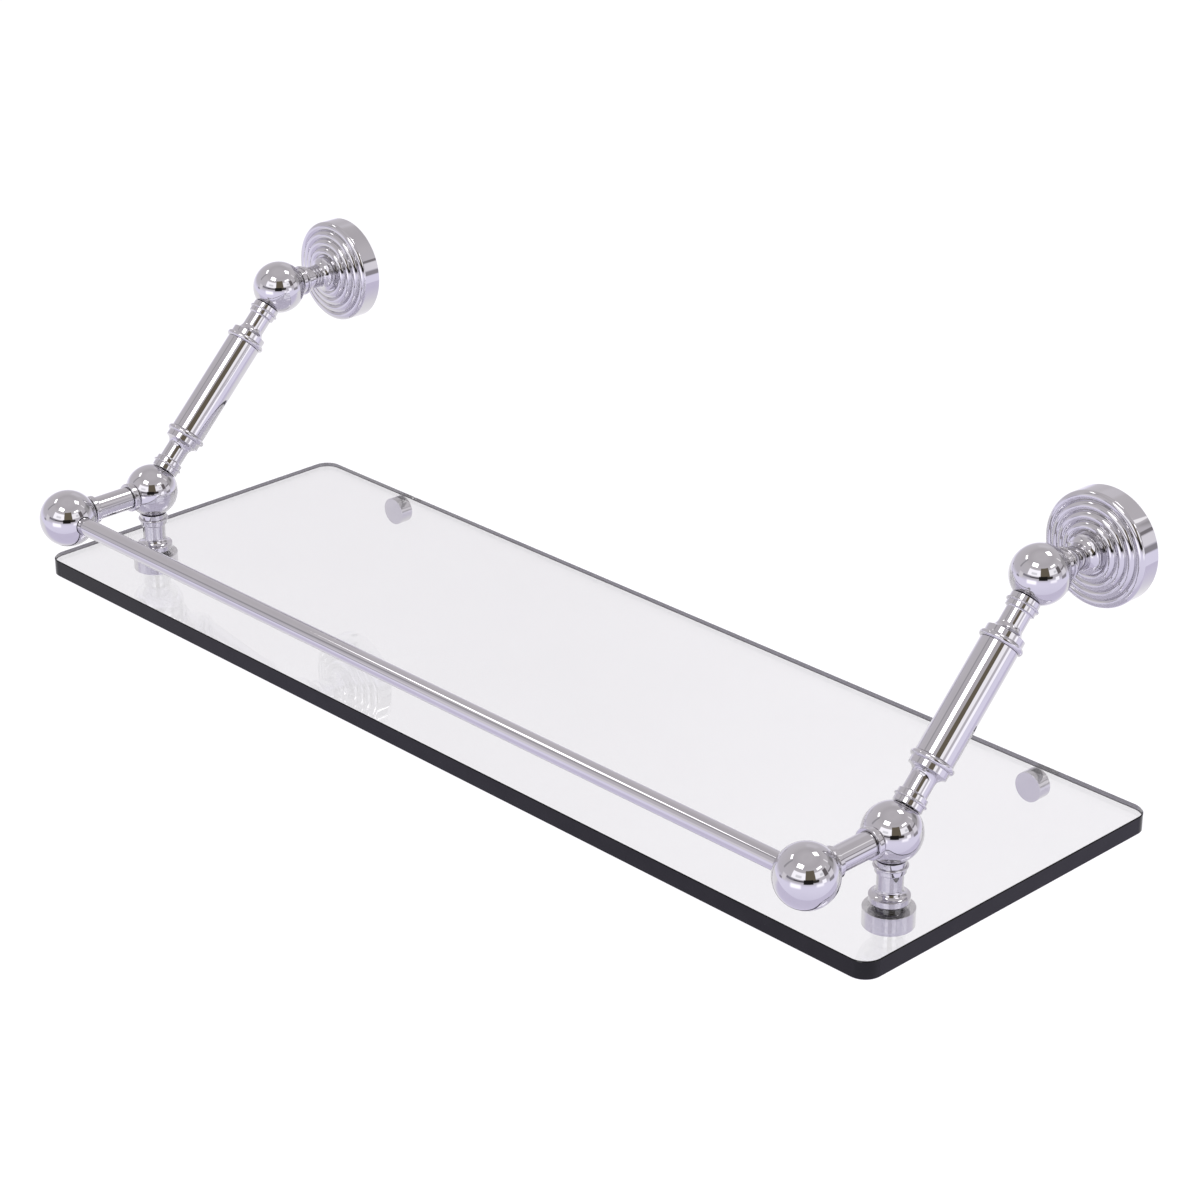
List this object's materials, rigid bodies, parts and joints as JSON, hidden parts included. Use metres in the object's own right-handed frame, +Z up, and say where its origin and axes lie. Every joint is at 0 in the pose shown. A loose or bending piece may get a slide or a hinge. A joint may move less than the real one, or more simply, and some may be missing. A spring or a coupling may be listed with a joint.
{
  "type": "wall shelf with brackets",
  "caption": "Rectangular clear glass wall shelf on turned metal brackets with slanted ball-jointed arms, ridged round rosettes and a tubular gallery rail along the front.",
  "frame": {"origin": "on the wall plane, at mid-width, level with the glass's top face", "axes": "+X along the shelf to the right as seen from the room, +Y into the wall, +Z up"},
  "size_m": [0.6096, 0.2244, 0.1844],
  "materials": {
    "glass": "clear, flat polished edges",
    "chrome": "polished chrome",
    "steel": "plain zinc-plated",
    "clear_plastic": "clear"
  },
  "bodies": {
    "root": {"glass_shelf": "glass", "gallery_rail": "chrome", "wall_plate_left": "steel", "rosette_left": "chrome", "rosette_set_screw_left": "steel", "stem_collar_left": "chrome", "stem_stud_left": "steel", "stem_nut_left": "steel", "upper_ball_left": "chrome", "lower_ball_left": "chrome", "front_ball_left": "chrome", "arm_collar_upper_left": "chrome", "arm_tube_left": "chrome", "arm_collar_lower_left": "chrome", "arm_rod_left": "steel", "spacer_ferrule_rear_left": "chrome", "spacer_tube_left": "chrome", "spacer_ferrule_front_left": "chrome", "spacer_rod_left": "steel", "post_left": "chrome", "washer_upper_left": "clear_plastic", "washer_lower_left": "clear_plastic", "clamp_cap_left": "chrome", "post_stud_left": "steel", "rear_pin_left": "chrome", "wall_plate_right": "steel", "rosette_right": "chrome", "rosette_set_screw_right": "steel", "stem_collar_right": "chrome", "stem_stud_right": "steel", "stem_nut_right": "steel", "upper_ball_right": "chrome", "lower_ball_right": "chrome", "front_ball_right": "chrome", "arm_collar_upper_right": "chrome", "arm_tube_right": "chrome", "arm_collar_lower_right": "chrome", "arm_rod_right": "steel", "spacer_ferrule_rear_right": "chrome", "spacer_tube_right": "chrome", "spacer_ferrule_front_right": "chrome", "spacer_rod_right": "steel", "post_right": "chrome", "washer_upper_right": "clear_plastic", "washer_lower_right": "clear_plastic", "clamp_cap_right": "chrome", "post_stud_right": "steel", "rear_pin_right": "chrome"}
  },
  "joints": []
}
